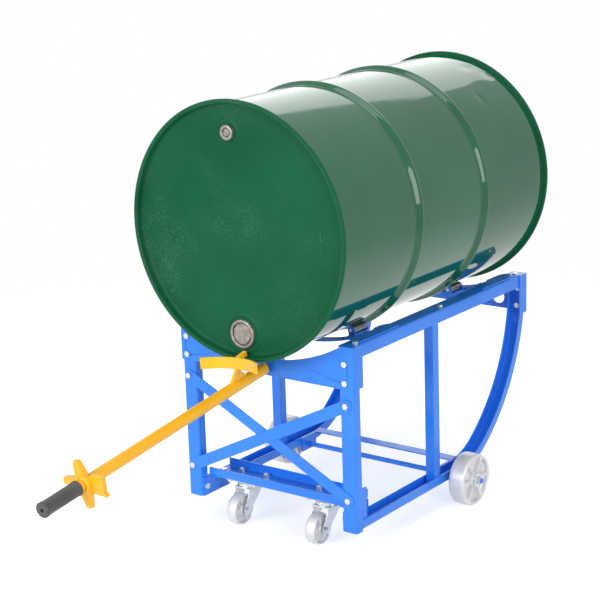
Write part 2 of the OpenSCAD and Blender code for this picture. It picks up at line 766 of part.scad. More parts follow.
// Fasteners
module saddle_bolts() {
  color(zinc) placed() both_sides() for (h = [upper_bolt_h, lower_bolt_h]) {
    bolt_y([bolt_x, saddle_set, h], saddle_t + bar_t);
    rear() bolt_y([bolt_x, saddle_set, h], back_y - web_inner_y(h - 0.6 * bolt_af) + touch);
  }
}
module brace_bolts() {
  color(zinc) placed() both_sides() for (h = [brace_top_h, brace_low_h])
    bolt_y([bolt_x, front_inner_y - brace_t, h], brace_t + bar_t);
}
module rail_bolts() {
  color(zinc) placed() both_sides() {
    for (p = rail_bolt_places) translate([p[0], p[1], rail_top]) rotate([180, 0, 0])
      bolt(bar_t + tab_t);
    translate([channel_inner_x - foot_t, foot_bolt_y, foot_bolt_h]) rotate([0, 90, 0])
      bolt(foot_t + bar_t);
    translate([foot_seat_x, platform_y, caster_h + platform_t]) rotate([180, 0, 0])
      bolt(platform_t + foot_t);
  }
}

// Casters
plate_bolt_places = [
  for (side = [-1, 1], i = [-1, 1], j = [-1, 1])
    [side * swivel_x + i * plate_bolt_x / 2, swivel_y + j * plate_bolt_y / 2]
];
module caster_top_plates() {
  plate_x = plate_bolt_x / 2 + 9;
  plate_y = plate_bolt_y / 2 + 9;
  color(zinc) placed() both_sides() translate([swivel_x, swivel_y, 0]) difference() {
    union() {
      block(-plate_x, plate_x, -plate_y, plate_y, caster_h - plate_t, caster_h);
      // Dished cup that carries the upper race and hides the balls
      rotate_extrude() polygon([
        [0, caster_h - plate_t], [race_r - 4, caster_h - plate_t], [cup_r, race_under], [cup_r, cup_under],
        [cup_r - cup_wall, cup_under], [cup_r - cup_wall, race_under], [0, race_under]
      ]);
    }
    for (i = [-1, 1], j = [-1, 1])
      translate([i * plate_bolt_x / 2, j * plate_bolt_y / 2, caster_h - plate_t - 1])
        cylinder(r = hole_r, h = plate_t + 2);
    translate([0, 0, race_under - 1]) cylinder(r = king_pin_r + touch, h = race_h + plate_t + 2);
  }
}
module caster_king_pins() {
  color(zinc) placed() both_sides() translate([swivel_x, swivel_y, 0]) {
    translate([0, 0, crown_under - gap - 4]) cylinder(r = king_pin_r, h = caster_h - crown_under + gap + 4);
    translate([0, 0, crown_under - gap - 4]) cylinder(r = king_pin_r + 4, h = 4);
  }
}
ball_count = 16;
module caster_balls() {
  color(zinc) placed() both_sides() translate([swivel_x, swivel_y, ball_h])
    for (i = [0:ball_count - 1]) rotate(360 / ball_count * i)
      translate([race_r - ball_r - 3, 0, 0]) sphere(ball_r, $fn = 24);
}
module caster_plate_bolts() {
  color(zinc) placed() for (p = plate_bolt_places)
    translate([p[0], p[1], caster_h - plate_t]) bolt(plate_t + platform_t);
}

module caster_fork() {
  boss_r = caster_axle_r + 7;
  top = crown_under + crown_t / 2;
  translate([swivel_x, 0, 0]) difference() {
    union() {
      // Crown with the lower raceway
      translate([0, swivel_y, crown_under]) cylinder(r = race_r, h = crown_t);
      // Yoke over the wheel, and the two legs
      block(-fork_half, fork_half, swivel_y - race_r - 2, swivel_y + race_r - 4, crown_under, top);
      for (x = [-fork_half, fork_inner]) side_slab(x, fork_t) {
        polygon([
          [swivel_y - race_r - 2, top], [swivel_y + race_r - 4, top],
          [swivel_y + race_r - 4, crown_under - 8], [wheel_y + boss_r * 0.8, caster_wheel_r - boss_r * 0.6],
          [wheel_y - boss_r * 0.9, caster_wheel_r - boss_r * 0.4],
          [wheel_y - boss_r, caster_wheel_r + boss_r * 0.4], [swivel_y - race_r - 2, crown_under - 8]
        ]);
        translate([wheel_y, caster_wheel_r]) circle(boss_r);
      }
    }
    translate([0, swivel_y, crown_under - 1])
      cylinder(r = king_pin_r + running_play, h = crown_t + 2);
    along_x([-fork_half - 1, wheel_y, caster_wheel_r], caster_axle_r + touch, 2 * fork_half + 2);
  }
}
module right_caster_fork() color(zinc) placed() caster_fork();
module left_caster_fork() color(zinc) placed() left() caster_fork();
module caster_axle() {
  nut_af = 13;
  translate([swivel_x - fork_half, wheel_y, caster_wheel_r]) rotate([0, 90, 0]) {
    translate([0, 0, -5]) hex(nut_af, 5);
    cylinder(r = caster_axle_r, h = 2 * fork_half + 8);
    difference() {
      translate([0, 0, 2 * fork_half]) hex(nut_af, 6.5);
      translate([0, 0, 2 * fork_half - 1]) cylinder(r = caster_axle_r, h = 9);
    }
  }
}
module right_caster_axle() color(zinc) placed() caster_axle();
module left_caster_axle() color(zinc) placed() left() caster_axle();

// Cast wheel: rim, web, hub and ribs on both faces
module cast_wheel(r, w, rim, hub, bore, ribs) {
  web = w / 5;
  rotate([0, 90, 0]) difference() {
    union() {
      difference() {
        cylinder(r = r, h = w, center = true, $fn = 96);
        cylinder(r = r - rim, h = w + 2, center = true, $fn = 96);
      }
      cylinder(r = r - rim + 1, h = web, center = true, $fn = 96);
      cylinder(r = hub, h = w, center = true);
      for (i = [0:ribs - 1]) rotate(360 / ribs * i) translate([hub - 2, -2.5, -w * 0.42])
        cube([r - rim - hub + 3, 5, w * 0.84]);
    }
    cylinder(r = bore, h = w + 2, center = true);
  }
}
module rear_wheel() {
  translate([wheel_inner_x + wheel_w / 2, axle_y, wheel_r])
    cast_wheel(wheel_r, wheel_w, 9, 20, bush_r + touch, 6);
}
module right_rear_wheel() color(dark_zinc) placed() rear_wheel();
module left_rear_wheel() color(dark_zinc) placed() left() rear_wheel();
module hub_bush() {
  difference() {
    along_x([wheel_inner_x, axle_y, wheel_r], bush_r, wheel_w);
    along_x([wheel_inner_x - 1, axle_y, wheel_r], axle_r + running_play, wheel_w + 2);
  }
}
module right_hub_bush() color(bronze) placed() hub_bush();
module left_hub_bush() color(bronze) placed() left() hub_bush();
module caster_wheel() {
  translate([swivel_x, wheel_y, caster_wheel_r])
    cast_wheel(caster_wheel_r, caster_wheel_w, 6, 13, caster_axle_r + running_play, 5);
}
module right_caster_wheel() color(dark_zinc) placed() caster_wheel();
module left_caster_wheel() color(dark_zinc) placed() left() caster_wheel();

// Drum. Its pieces are drawn about the drum's axis and turned into place
module on_drum_axis() placed() translate([0, 0, drum_axis_h]) rotate([-90, 0, 0]) children();
module drum_shell() {
  y0 = head_recess + drum_sheet;
  length = drum_len - 2 * y0;
  color(green) on_drum_axis() rotate_extrude($fn = 180) difference() {
    hoop_outline(shell_r, y0, length, hoop_crown_r);
    hoop_outline(shell_r - drum_sheet, y0 - 1, length + 2, hoop_crown_r - drum_sheet);
  }
}
module hoop_outline(r, y0, length, crown) {
  translate([0, y0]) square([r, length]);
  for (y = [hoop_y, hoop_y + hoop_gap])
    translate([hoop_r - hoop_crown_r, y]) circle(crown);
}
// A head with its recess wall and the chime curled round its edge
module head_profile() {
  translate([0, head_recess]) square([shell_r, drum_sheet]);
  translate([shell_r - 2 * drum_sheet, curl_r]) square([2 * drum_sheet, head_recess - curl_r + touch]);
  translate([chime_bar_r, curl_r]) circle(curl_r);
}
module front_head() {
  color(green) on_drum_axis() difference() {
    rotate_extrude($fn = 180) head_profile();
    bung_hole(large_bung_x, large_bung_drop, large_thread_r);
    bung_hole(small_bung_x, -small_bung_rise, small_thread_r);
  }
}
module bung_hole(x, down, thread) {
  translate([x, down, head_recess - 1]) cylinder(r = thread + flange_t + touch, h = drum_sheet + 2);
}
module rear_head() {
  color(green) on_drum_axis() translate([0, 0, drum_len]) mirror([0, 0, 1])
    rotate_extrude($fn = 180) head_profile();
}

// Bungs: a threaded flange set in the head, a gasket and the plug with its wrench bar
flange_t = 4;
flange_proud = 1.5;
gasket_t = 1.7;
module at_large_bung() on_drum_axis() translate([large_bung_x, large_bung_drop, head_recess - flange_proud]) children();
module at_small_bung() on_drum_axis() translate([small_bung_x, -small_bung_rise, head_recess - flange_proud]) children();
module bung_flange(thread) {
  difference() {
    union() {
      cylinder(r = thread + flange_t, h = bung_len + 3);
      translate([0, 0, flange_proud + drum_sheet]) cylinder(r = thread + flange_t + 5, h = 4);
    }
    translate([0, 0, -1]) cylinder(r = thread + running_play, h = bung_len + 6);
  }
}
module bung_plug(thread, rim) {
  seat = -gap - gasket_t;
  well_r = thread - 4;
  difference() {
    union() {
      translate([0, 0, seat - bung_rim_t]) cylinder(r = rim, h = bung_rim_t);
      translate([0, 0, seat - 1]) cylinder(r = thread, h = bung_len - seat + 1);
    }
    translate([0, 0, seat - bung_rim_t - 1]) cylinder(r = well_r, h = bung_rim_t + bung_len - 1);
  }
  // Bar across the well that the wrench turns
  intersection() {
    translate([-well_r - 1, -thread * 0.16, seat - bung_rim_t + 1])
      cube([2 * well_r + 2, thread * 0.32, bung_rim_t + bung_len - 2]);
    translate([0, 0, seat - bung_rim_t]) cylinder(r = well_r + 1, h = bung_rim_t + bung_len);
  }
}
module bung_gasket(thread, rim) {
  translate([0, 0, -gap - gasket_t]) difference() {
    cylinder(r = rim - 1, h = gasket_t);
    translate([0, 0, -1]) cylinder(r = thread + touch, h = gasket_t + 2);
  }
}
module large_bung_flange() color(dark_zinc) at_large_bung() bung_flange(large_thread_r);
module small_bung_flange() color(dark_zinc) at_small_bung() bung_flange(small_thread_r);
module large_bung() color(zinc) at_large_bung() bung_plug(large_thread_r, large_rim_r);
module small_bung() color(zinc) at_small_bung() bung_plug(small_thread_r, small_rim_r);
module large_bung_gasket() color(grip_black) at_large_bung() bung_gasket(large_thread_r, large_rim_r);
module small_bung_gasket() color(grip_black) at_small_bung() bung_gasket(small_thread_r, small_rim_r);

// Lever. Its own frame has the tube along Y, with the tip's middle at the origin
module on_lever() placed() translate([lever_x, tip_y, drum_axis_h - tip_drop]) rotate([lever_angle, 0, 0]) children();
tube_r = tube_d / 2;
tube_end = 8;
module lever_tube() {
  color(yellow) on_lever() difference() {
    along_y([0, -lever_len + tube_end, 0], tube_r, lever_len - tube_end);
    along_y([0, -lever_len, 0], tube_r - tube_t, lever_len + 1);
  }
}
module lever_grip() {
  grip_r = grip_d / 2;
  color(grip_black) on_lever() difference() {
    along_y([0, -lever_len, 0], grip_r, grip_len);
    along_y([0, -lever_len + tube_end, 0], tube_r + touch, grip_len);
    along_y([0, -lever_len - 1, 0], 4, tube_end + 2);
  }
}
// Cast bung wrench: hub, three tapered lugs and one wide slab with a small hook
module bung_wrench() {
  y0 = -lever_len + star_set - star_len / 2;
  hub_r = tube_r + 6;
  slab_reach = star_reach - 5;
  lug_l = 15;
  color(yellow) on_lever() difference() {
    union() {
      along_y([0, y0, 0], hub_r, star_len);
      for (a = [100, 180, 281]) rotate([0, -a, 0]) front_slab(y0, lug_l) polygon([
        [hub_r - 6, -13], [star_reach, -7.5], [star_reach, 7.5], [hub_r - 6, 13]
      ]);
      front_slab(y0 + star_len - 12, 12) polygon([
        [hub_r - 6, -20], [slab_reach, -24], [slab_reach + 6, -24], [slab_reach + 6, -18],
        [slab_reach, -14], [slab_reach, 22], [hub_r - 6, 20]
      ]);
    }
    along_y([0, y0 - 1, 0], tube_r + touch, star_len + 2);
  }
}
// The strip's own frame: on its curve's axis, at the strip's lower edge, rolled about the lever
module on_strip() {
  translate([lever_x, strip_centre_y, strip_bottom + strip_h / 2]) rotate([0, -strip_roll, 0])
    translate([-strip_shift, 0, -strip_h / 2]) children();
}
module saddle_strip() {
  half = asin(strip_w / 2 / strip_r);
  color(yellow) placed() on_strip() rotate(90 - half)
    rotate_extrude(angle = 2 * half, $fn = 120) translate([strip_r, 0]) square([strip_t, strip_h]);
}
// The finger reaches over the chime from the strip, just clear of the curl it hooks
finger_root = 40;
module hook_finger() {
  z0 = finger_stand + chime_rise;
  color(yellow) placed() difference() {
    translate([lever_x, curl_r, drum_axis_h - chime_bar_r]) rotate([finger_rise, 0, 0])
      block(-finger_w / 2, finger_w / 2, -finger_root, finger_reach, z0, z0 + finger_h);
    on_strip() translate([0, 0, -20]) cylinder(r = strip_r + strip_t + touch, h = strip_h + 40, $fn = 120);
  }
}
// Web between the tube and the strip
gusset_front = 18;
gusset_back = 28;
module lever_gusset() {
  web_t = 7;
  foot = tan(lever_angle);
  tube_top = drum_axis_h - tip_drop + tube_r / cos(lever_angle) - tip_y * foot;
  y_front = strip_centre_y + strip_r - 3;
  y_back = strip_centre_y + strip_r + strip_t;
  y_foot = y_front - gusset_front;
  y_heel = y_back + gusset_back;
  color(yellow) placed() difference() {
    side_slab(lever_x - web_t / 2, web_t) polygon([
      [y_front, strip_bottom + 2], [y_back, strip_bottom + 2], [y_back, strip_bottom],
      [y_heel, tube_top + y_heel * foot], [y_foot, tube_top + y_foot * foot], [y_front, strip_bottom]
    ]);
    on_strip() block(-40, 40, 0, strip_r + 40, touch, strip_h);
  }
}

front_saddle_plate();
rear_saddle_plate();
left_top_rail();
right_top_rail();
left_front_leg();
right_front_leg();
left_rocker_rail();
right_rocker_rail();
left_mid_post();
right_mid_post();
rising_brace_bar();
falling_brace_bar();
caster_channel();
leg_foot_brackets();
upper_cross_bar();
rear_axle();
axle_lugs();
axle_fasteners();
front_roller_strap();
rear_roller_strap();
roller_mount_plates();
roller_brackets();
roller_pins();
saddle_bolts();
brace_bolts();
rail_bolts();
caster_top_plates();
caster_king_pins();
caster_balls();
caster_plate_bolts();
front_left_roller();
front_right_roller();
rear_left_roller();
rear_right_roller();
left_rear_wheel();
right_rear_wheel();
left_hub_bush();
right_hub_bush();
left_caster_fork();
right_caster_fork();
left_caster_axle();
right_caster_axle();
left_caster_wheel();
right_caster_wheel();
drum_shell();
front_head();
rear_head();
large_bung_flange();
small_bung_flange();
large_bung();
small_bung();
large_bung_gasket();
small_bung_gasket();
lever_tube();
lever_grip();
bung_wrench();
saddle_strip();
hook_finger();
lever_gusset();
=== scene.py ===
"""Looks of the rotating drum cart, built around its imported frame."""

import math

import bmesh
import bpy
from mathutils import Matrix, Vector, noise

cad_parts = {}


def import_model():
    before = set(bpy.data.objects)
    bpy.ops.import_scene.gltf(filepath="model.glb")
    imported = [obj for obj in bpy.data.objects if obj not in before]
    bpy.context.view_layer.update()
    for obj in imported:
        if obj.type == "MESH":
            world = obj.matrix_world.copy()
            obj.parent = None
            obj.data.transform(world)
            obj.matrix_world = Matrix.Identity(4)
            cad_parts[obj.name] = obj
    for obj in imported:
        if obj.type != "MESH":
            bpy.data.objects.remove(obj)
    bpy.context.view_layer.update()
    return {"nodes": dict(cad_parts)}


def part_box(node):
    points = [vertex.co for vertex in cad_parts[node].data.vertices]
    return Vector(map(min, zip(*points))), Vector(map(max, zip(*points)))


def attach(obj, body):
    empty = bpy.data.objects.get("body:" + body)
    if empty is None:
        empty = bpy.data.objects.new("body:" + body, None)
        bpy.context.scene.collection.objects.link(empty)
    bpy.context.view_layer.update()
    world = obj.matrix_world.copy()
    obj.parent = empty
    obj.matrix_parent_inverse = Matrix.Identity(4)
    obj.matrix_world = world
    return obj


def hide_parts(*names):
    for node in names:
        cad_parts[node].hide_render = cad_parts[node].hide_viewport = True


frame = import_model()
nodes = frame["nodes"]

MM = 0.001
# Plane of the drum's front chime; lengths in this file are millimetres counted from it
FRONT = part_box("front_head")[0].y

ALONG_Y = Matrix.Rotation(math.radians(-90), 4, "X")
ALONG_X = Matrix.Rotation(math.radians(90), 4, "Y")
UPRIGHT = Matrix.Identity(4)

# Drum: height of its axis, radii of shell and hoops, length, depth of a head, places of the hoops
DRUM_AXIS = 750
SHELL_R = 286
HOOP_R = 295.5
DRUM_LEN = 883.5
RECESS = 19
HOOPS = (309, 593)
HOOP_HALF = 17
SHELL_END = 14.0
# Middles of the two bungs: across and up
LARGE_BUNG = (-1, DRUM_AXIS - 235)
SMALL_BUNG = (-22, DRUM_AXIS + 219)

# Rocker rail in side view: height of its runner, its two bends, and where it ends
RUNNER_H = 63
RUNNER_PLACES = (115.9, 200, 300, 400, 500)
LEAD_R = 200
ROCKER_R = 462.05
ROCKER_CENTRE = (396.45, 478.7)
RAIL_TOP = 496.8
RAIL_MIDDLE = 226.5
RAIL_WIDTH, RAIL_DEPTH, RAIL_SHEET, RAIL_BEND = 38, 24, 3.2, 6
TAB_X, TAB_Y, TAB_SHEET = (217.3, 239.5), (814.3, 855.3), 3.0

# Lever: length of its tube, and the star's distance from the tube's outer end
LEVER_LEN = 733.5
STAR_SET = 127
STAR_HALF = 13
TUBE_R = 13.6
LUG_ANGLES = (100, 180, 281)


def at(x, y, z, turn=UPRIGHT):
    """Matrix that places millimetre coordinates at a point counted from the front chime."""
    return Matrix.Translation((x * MM, FRONT + y * MM, z * MM)) @ turn @ Matrix.Scale(MM, 4)


# Camera, from the photograph's viewing angle


def add_camera():
    azimuth, elevation, roll = math.radians(36.97), math.radians(14.95), math.radians(-1.92)
    back = Vector((
        math.sin(azimuth) * math.cos(elevation),
        -math.cos(azimuth) * math.cos(elevation),
        math.sin(elevation),
    ))
    right = (-back).cross(Vector((0, 0, 1))).normalized()
    up = right.cross(-back)
    c, s = math.cos(roll), math.sin(roll)
    right, up = c * right + s * up, c * up - s * right
    data = bpy.data.cameras.new("camera")
    data.sensor_width = 36
    data.lens = 106.2
    data.clip_end = 60
    camera = bpy.data.objects.new("camera", data)
    turn = Matrix((right, up, back)).transposed().to_4x4()
    camera.matrix_world = Matrix.Translation((2.39480, FRONT - 2.94887, 1.60639)) @ turn
    bpy.context.scene.collection.objects.link(camera)
    bpy.context.scene.camera = camera


# Node materials


class Nodes:
    """Short way to build a node material."""

    def __init__(self, name):
        self.material = bpy.data.materials.new(name)
        self.material.use_nodes = True
        self.tree = self.material.node_tree
        self.tree.nodes.clear()
        self.out = self.tree.nodes.new("ShaderNodeOutputMaterial")
        self.coords = self.tree.nodes.new("ShaderNodeTexCoord").outputs["Object"]

    def link(self, source, target):
        self.tree.links.new(source, target)

    def put(self, socket, value):
        if isinstance(value, bpy.types.NodeSocket):
            self.link(value, socket)
        else:
            socket.default_value = value

    def noise(self, scale, detail=3.0, roughness=0.5, stretch=None, distortion=0.0):
        node = self.tree.nodes.new("ShaderNodeTexNoise")
        node.inputs["Scale"].default_value = scale
        node.inputs["Detail"].default_value = detail
        node.inputs["Roughness"].default_value = roughness
        node.inputs["Distortion"].default_value = distortion
        self.link(self.stretched(stretch), node.inputs["Vector"])
        return node.outputs["Fac"]

    def stretched(self, stretch):
        if stretch is None:
            return self.coords
        node = self.tree.nodes.new("ShaderNodeMapping")
        node.inputs["Scale"].default_value = stretch
        self.link(self.coords, node.inputs["Vector"])
        return node.outputs["Vector"]

    def cells(self, scale):
        node = self.tree.nodes.new("ShaderNodeTexVoronoi")
        node.inputs["Scale"].default_value = scale
        self.link(self.coords, node.inputs["Vector"])
        return node.outputs["Distance"]

    def ramp(self, value, low, high, start=0.0, end=1.0):
        node = self.tree.nodes.new("ShaderNodeMapRange")
        node.clamp = True
        self.put(node.inputs["Value"], value)
        node.inputs["From Min"].default_value = low
        node.inputs["From Max"].default_value = high
        node.inputs["To Min"].default_value = start
        node.inputs["To Max"].default_value = end
        return node.outputs["Result"]

    def math(self, operation, a, b):
        node = self.tree.nodes.new("ShaderNodeMath")
        node.operation = operation
        self.put(node.inputs[0], a)
        self.put(node.inputs[1], b)
        return node.outputs["Value"]

    def mix(self, factor, a, b):
        node = self.tree.nodes.new("ShaderNodeMix")
        node.data_type = "RGBA"
        self.put(node.inputs["Factor"], factor)
        self.put(node.inputs["A"], a)
        self.put(node.inputs["B"], b)
        return node.outputs["Result"]

    def bump(self, height, distance):
        node = self.tree.nodes.new("ShaderNodeBump")
        node.inputs["Distance"].default_value = distance
        node.inputs["Strength"].default_value = 1.0
        self.link(height, node.inputs["Height"])
        return node.outputs["Normal"]

    def surface(self, **values):
        shader = self.tree.nodes.new("ShaderNodeBsdfPrincipled")
        for name, value in values.items():
            self.put(shader.inputs[name.replace("_", " ")], value)
        self.link(shader.outputs["BSDF"], self.out.inputs["Surface"])
        return self.material


def linear(code):
    """Scene colour of a hexadecimal screen colour."""
    values = [int(code[i:i + 2], 16) / 255 for i in (1, 3, 5)]
    return tuple(v / 12.92 if v <= 0.04045 else ((v + 0.055) / 1.055) ** 2.4 for v in values) + (1.0,)


def paint(name, colour, deep, rough, coat, peel=0.00003, scuff=0.35):
    """Sprayed enamel: orange peel, faint clouding, rubbed spots and a clear gloss."""
    m = Nodes(name)
    cloud = m.ramp(m.noise(5, 4), 0.35, 0.7)
    base = m.mix(cloud, linear(colour), linear(deep))
    rubbed = m.ramp(m.noise(38, 6, 0.65), 0.62, 0.74)
    base = m.mix(m.math("MULTIPLY", rubbed, scuff), base, linear(deep))
    roughness = m.ramp(m.noise(22, 4), 0.3, 0.75, rough * 0.8, rough * 1.35)
    normal = m.bump(m.noise(260, 2), peel)
    return m.surface(
        Base_Color=base, Roughness=roughness, Normal=normal,
        Coat_Weight=coat, Coat_Roughness=0.06, IOR=1.5, Specular_IOR_Level=0.35,
    )


def drum_gloss():
    """Glossy dark green enamel with a faint spray texture and a few rubbed marks."""
    m = Nodes("drum_gloss")
    base = m.mix(m.ramp(m.noise(4, 3), 0.35, 0.7), linear("#0F6341"), linear("#0C5838"))
    scratch = m.ramp(m.noise(9, 7, 0.7, stretch=(14, 1.2, 14)), 0.7, 0.78)
    base = m.mix(m.math("MULTIPLY", scratch, 0.35), base, linear("#5E9478"))
    roughness = m.ramp(m.noise(14, 5), 0.3, 0.75, 0.04, 0.1)
    normal = m.bump(m.noise(180, 2), 0.00002)
    return m.surface(Base_Color=base, Roughness=roughness, Normal=normal, IOR=1.5)


def drum_head():
    """Duller green of the heads, dusted with fine pale specks and drag marks."""
    m = Nodes("drum_head")
    base = m.mix(m.ramp(m.noise(5, 4), 0.35, 0.7), linear("#0B5A39"), linear("#085032"))
    # Dust gathers in patches made of fine specks
    patches = m.ramp(m.noise(4.5, 3, 0.55), 0.5, 0.68)
    specks = m.ramp(m.noise(420, 3, 0.7), 0.52, 0.72)
    dust = m.math("MULTIPLY", m.math("MULTIPLY", patches, specks), 0.4)
    base = m.mix(dust, base, linear("#7FB39A"))
    film = m.ramp(m.noise(3.2, 3), 0.45, 0.78, 0.0, 0.09)
    base = m.mix(film, base, linear("#57967A"))
    drag = m.ramp(m.noise(11, 8, 0.72, stretch=(6, 6, 0.8)), 0.71, 0.77)
    base = m.mix(m.math("MULTIPLY", drag, 0.3), base, linear("#86B39D"))
    roughness = m.ramp(m.noise(16, 5), 0.3, 0.75, 0.32, 0.5)
    normal = m.bump(m.noise(240, 3), 0.00004)
    return m.surface(
        Base_Color=base, Roughness=roughness, Normal=normal, IOR=1.45, Specular_IOR_Level=0.12,
    )


def bright_zinc(name, colour, deep, rough, metallic=0.9):
    """Plated steel with faint crystal cloud and handling marks."""
    m = Nodes(name)
    cloud = m.ramp(m.cells(90), 0.1, 0.7)
    base = m.mix(cloud, linear(colour), linear(deep))
    stain = m.ramp(m.noise(30, 5), 0.55, 0.75, 0.0, 0.5)
    base = m.mix(stain, base, linear(deep))
    roughness = m.ramp(m.noise(60, 4), 0.3, 0.75, rough * 0.8, rough * 1.4)
    normal = m.bump(m.noise(320, 3), 0.00003)
    return m.surface(Base_Color=base, Roughness=roughness, Normal=normal, Metallic=metallic)


def cast_metal(name, colour, deep, rough, metallic):
    """Sand-cast metal: grainy surface with darker pits."""
    m = Nodes(name)
    grains = m.noise(210, 5, 0.6)
    base = m.mix(m.ramp(m.noise(24, 5), 0.35, 0.7), linear(colour), linear(deep))
    pits = m.ramp(m.noise(120, 4, 0.7), 0.6, 0.75, 0.0, 0.6)
    base = m.mix(pits, base, linear(deep))
    roughness = m.ramp(m.noise(50, 4), 0.3, 0.75, rough * 0.8, rough * 1.3)
    normal = m.bump(grains, 0.00012)
    return m.surface(Base_Color=base, Roughness=roughness, Normal=normal, Metallic=metallic)


def rubber(name, colour, deep):
    """Moulded vinyl with a fine grain and a greyish bloom."""
    m = Nodes(name)
    base = m.mix(m.ramp(m.noise(18, 5), 0.35, 0.7), linear(colour), linear(deep))
    roughness = m.ramp(m.noise(45, 4), 0.3, 0.75, 0.42, 0.62)
    normal = m.bump(m.noise(500, 3), 0.00005)
    return m.surface(Base_Color=base, Roughness=roughness, Normal=normal)


def bronze():
    m = Nodes("bush_bronze")
    base = m.mix(m.ramp(m.noise(60, 4), 0.35, 0.7), linear("#B98B4A"), linear("#8C6430"))
    roughness = m.ramp(m.noise(90, 4), 0.3, 0.75, 0.28, 0.45)
    normal = m.bump(m.noise(300, 3), 0.00003)
    return m.surface(Base_Color=base, Roughness=roughness, Normal=normal, Metallic=1.0)


BLUE = paint("blue_enamel", "#2B88FA", "#247CEE", 0.28, 0.2)
YELLOW = paint("yellow_enamel", "#FFC21F", "#F8AE12", 0.34, 0.3, scuff=0.5)
GREEN = drum_gloss()
HEAD_GREEN = drum_head()
ZINC = bright_zinc("bright_zinc", "#DDE0E2", "#CFD3D5", 0.26, 0.7)
DARK_ZINC = bright_zinc("roller_steel", "#9FA1A3", "#7E8083", 0.3)
CAST = cast_metal("pale_cast_iron", "#EAE9EA", "#D2D2D5", 0.36, 0.25)
BRONZE = bronze()
BUNG = bright_zinc("bung_steel", "#A49F97", "#88837C", 0.36, 0.7)
RUBBER = rubber("grip_vinyl", "#4A4846", "#3C3A39")
GASKET = rubber("gasket_rubber", "#2A2A2A", "#202020")

BY_SLOT = {
    "blue_paint": BLUE, "yellow_paint": YELLOW, "green_gloss": GREEN, "green_head": HEAD_GREEN,
    "zinc_plate": ZINC, "roller_steel": DARK_ZINC, "cast_iron": CAST, "bronze": BRONZE,
    "bung_steel": BUNG, "gasket_rubber": GASKET, "grip_rubber": RUBBER,
}


# Dressing of the frame's own nodes


def dress(name, bevel=0.7, segments=2):
    """Gives a CAD node its material, found by the slot name it came with, and soft edges."""
    obj = nodes[name]
    mesh = obj.data
    material = BY_SLOT[mesh.materials[0].name.split(".")[0]]
    if "custom_normal" in mesh.attributes:
        mesh.attributes.remove(mesh.attributes["custom_normal"])
    mesh.materials.clear()
    mesh.materials.append(material)
    for polygon in mesh.polygons:
        polygon.use_smooth = True
    weld = obj.modifiers.new("weld", "WELD")
    weld.merge_threshold = 0.00002
    if bevel:
        add_bevel(obj, bevel, segments)


def add_bevel(obj, width, segments=2, angle=28):
    bevel = obj.modifiers.new("bevel", "BEVEL")
    bevel.width = width * MM
    bevel.segments = segments
    bevel.limit_method = "ANGLE"
    bevel.angle_limit = math.radians(angle)
    bevel.harden_normals = True
    bevel.use_clamp_overlap = True


for node_name in nodes:
    dress(node_name)


# Mesh building


def ring_faces(first, second):
    """Quads between two closed rings with equal counts."""
    count = len(first)
    return [(first[i], first[(i + 1) % count], second[(i + 1) % count], second[i]) for i in range(count)]


def lathe(bm, place, profile, segments=64, shape=None):
    """Turns a closed (radius, height) outline about the local Z axis."""
    rings = []
    for radius, height in profile:
        if radius < 0.001:
            rings.append([bm.verts.new(place @ Vector((0, 0, height)))])
            continue
        ring = []
        for i in range(segments):
            turn = 2 * math.pi * i / segments
            r = radius + (shape(radius, height, turn) if shape else 0)
            ring.append(bm.verts.new(place @ Vector((r * math.cos(turn), r * math.sin(turn), height))))
        rings.append(ring)
    for a, b in zip(rings, rings[1:] + rings[:1]):
        if len(a) == 1 and len(b) == 1:
            continue
        if len(a) == 1:
            for i in range(segments):
                bm.faces.new((a[0], b[(i + 1) % segments], b[i]))
        elif len(b) == 1:
            for i in range(segments):
                bm.faces.new((b[0], a[i], a[(i + 1) % segments]))
        else:
            for face in ring_faces(a, b):
                bm.faces.new(face)


def loft(bm, rings):
    """Skins a list of rings of points, closed round each ring and at both ends."""
    made = [[bm.verts.new(p) for p in ring] for ring in rings]
    for a, b in zip(made, made[1:]):
        for face in ring_faces(a, b):
            bm.faces.new(face)
    bm.faces.new(made[0][::-1])
    bm.faces.new(made[-1])


def slab(bm, place, outline, low, high):
    """Outline in local X and Y, with its thickness along local Z."""
    loft(bm, [[place @ Vector((x, y, z)) for x, y in outline] for z in (low, high)])


def make(name, bm, body, material, stands_for=(), bevel=0.0, segments=2, angle=32):
    """Turns the built mesh into a piece that rides a body and stands for CAD nodes."""
    bmesh.ops.recalc_face_normals(bm, faces=bm.faces)
    mesh = bpy.data.meshes.new(name)
    bm.to_mesh(mesh)
    bm.free()
    for polygon in mesh.polygons:
        polygon.use_smooth = True
    mesh.set_sharp_from_angle(angle=math.radians(angle))
    mesh.materials.append(material)
    obj = bpy.data.objects.new(name, mesh)
    bpy.context.scene.collection.objects.link(obj)
    if bevel:
        add_bevel(obj, bevel, segments, angle)
    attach(obj, body)
    if stands_for:
        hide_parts(*stands_for)
    return obj


# Drum


def hoop_swell(y):
    """How far the swaged hoops stand out of the shell at a place along it."""
    for centre in HOOPS:
        d = abs(y - centre)
        if d < HOOP_HALF:
            return (HOOP_R - SHELL_R) * (0.5 + 0.5 * math.cos(math.pi * d / HOOP_HALF)) ** 0.8
    return 0.0


# Small dents near the rear end: place along the drum, angle from the top, length, width, depth
DENTS = (
    (819, 21, 26, 16, 1.6), (852, 30, 22, 18, 2.0), (728, 42.7, 9, 16, 2.2),
    (760, 36, 50, 34, 0.9), (811, 55.6, 16, 8, 0.8), (690, 70, 60, 60, 0.5),
)


def dent(y, turn):
    """Depth of the dents at a place along the shell and an angle round it."""
    total = 0.0
    for place, degrees, length, width, depth in DENTS:
        across = (turn - math.radians(degrees)) * SHELL_R
        total += depth * math.exp(-((y - place) / length) ** 2 - (across / width) ** 2)
    return total


